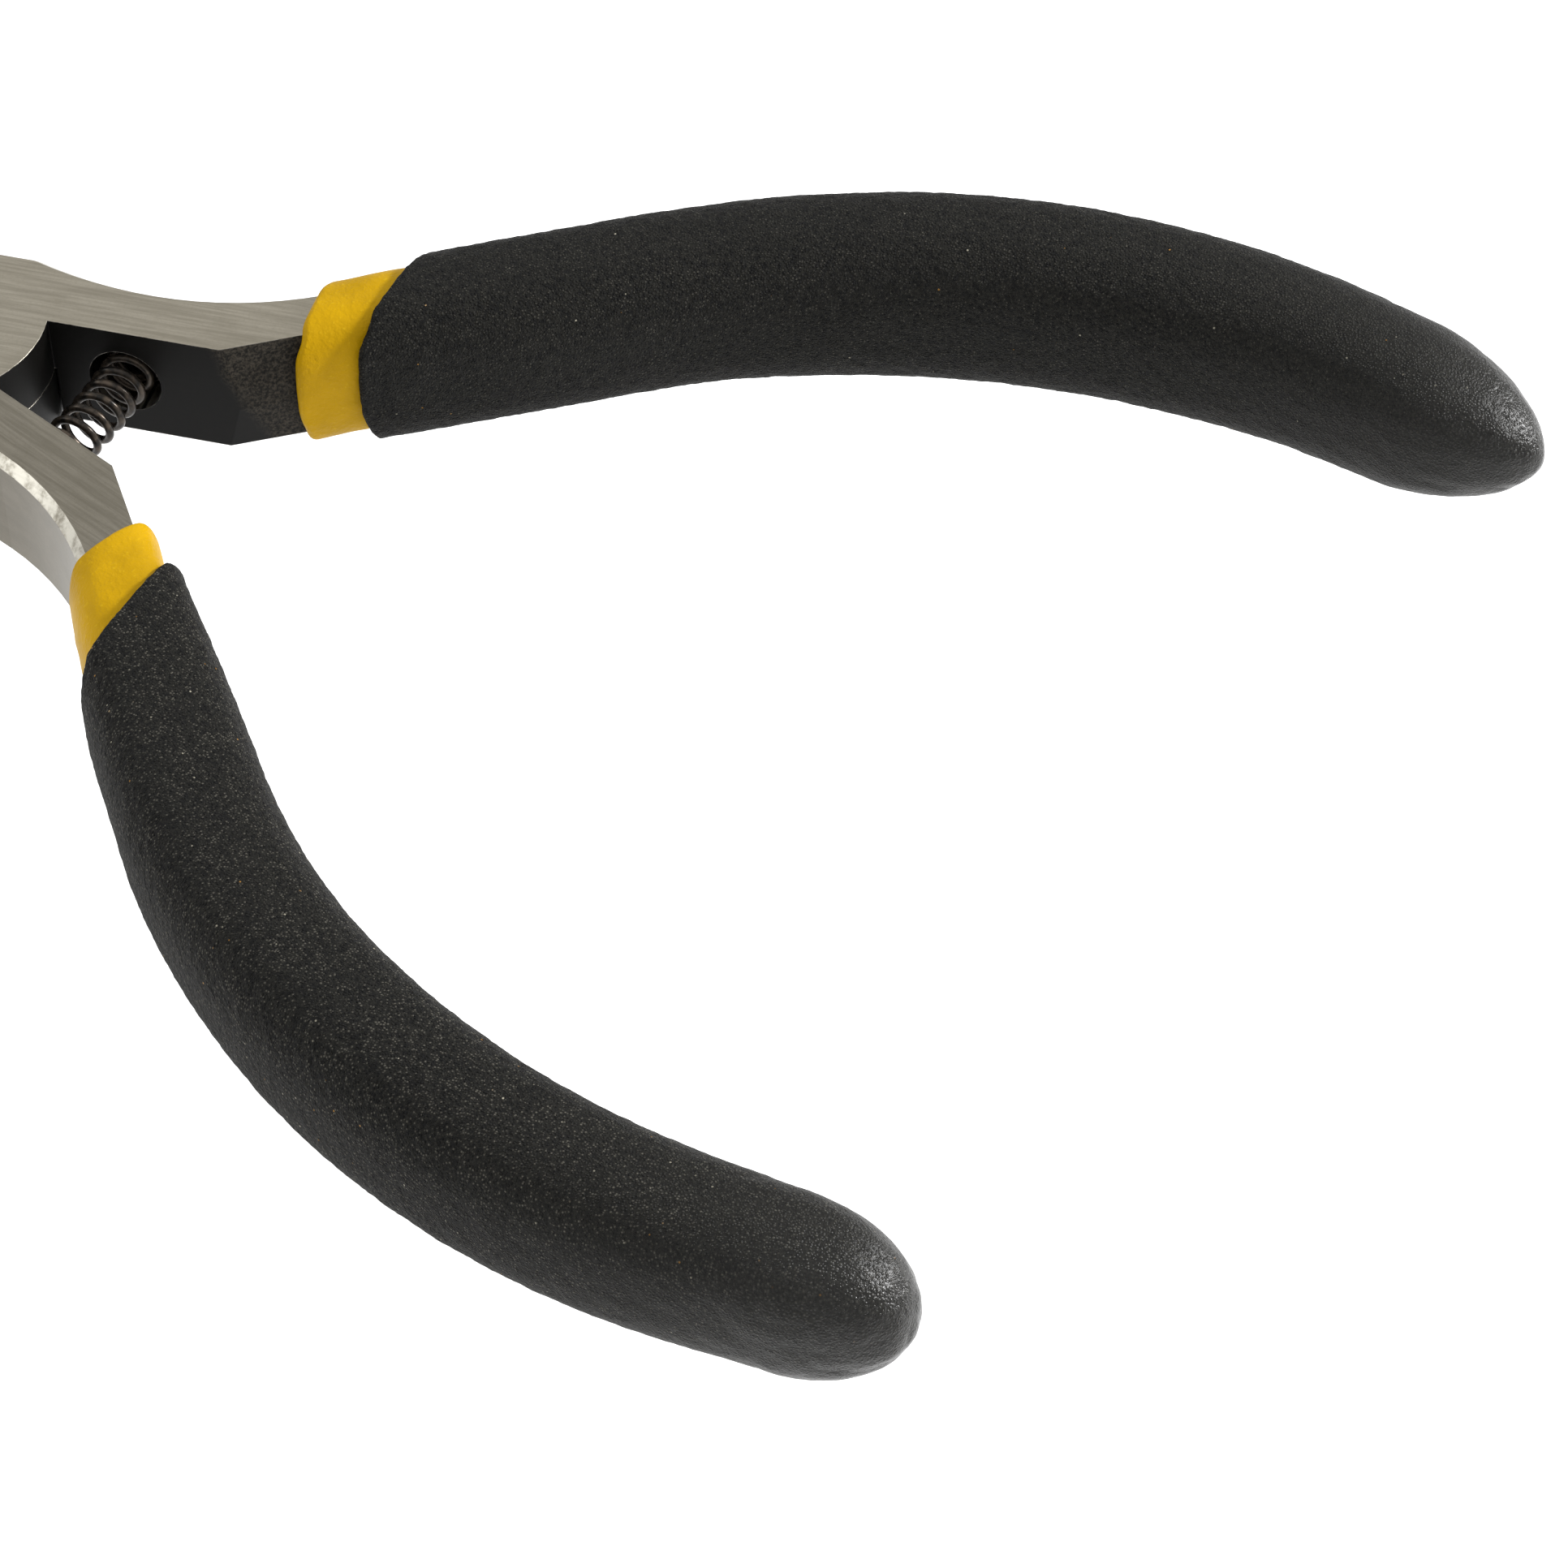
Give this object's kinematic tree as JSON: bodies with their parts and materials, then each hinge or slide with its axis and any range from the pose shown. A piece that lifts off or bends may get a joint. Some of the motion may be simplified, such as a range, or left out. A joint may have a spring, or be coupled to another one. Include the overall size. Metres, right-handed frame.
{
  "type": "flat nose pliers",
  "caption": "Small spring-opened flat nose pliers: two crossed steel halves on a flush rivet, a coil return spring and curved handles in two-layer dipped grips.",
  "frame": {"origin": "on the pivot axis, at the underside of the lap joint, with the pliers sprung open", "axes": "+Z along the pivot axis, up when the pliers lie flat; +X from the joint towards the handles; +Y towards the upper half's handle"},
  "size_m": [0.118, 0.0828, 0.0105],
  "materials": {
    "ground_steel": "ground satin faces, black oxide inner faces",
    "rivet_steel": "ground flush",
    "spring_wire": "black oxide wire",
    "yellow_vinyl": "smooth dipped vinyl, fine orange peel",
    "black_foamed_vinyl": "fine grained foamed vinyl, glossier at the ends"
  },
  "bodies": {
    "upper_lever": {"upper_half": "ground_steel", "pivot_rivet": "rivet_steel", "return_spring": "spring_wire", "upper_underdip": "yellow_vinyl", "upper_grip": "black_foamed_vinyl"},
    "lower_lever": {"lower_half": "ground_steel", "lower_underdip": "yellow_vinyl", "lower_grip": "black_foamed_vinyl"}
  },
  "joints": [
    {"name": "jaw_pivot", "type": "hinge", "parent": "upper_lever", "child": "lower_lever", "pos_m": [0, 0, 0.00375], "axis": [0, 0, 1], "range_deg": [0, 27.6], "stiffness_Nm_per_rad": 0.25, "deforming": ["return_spring"]}
  ]
}
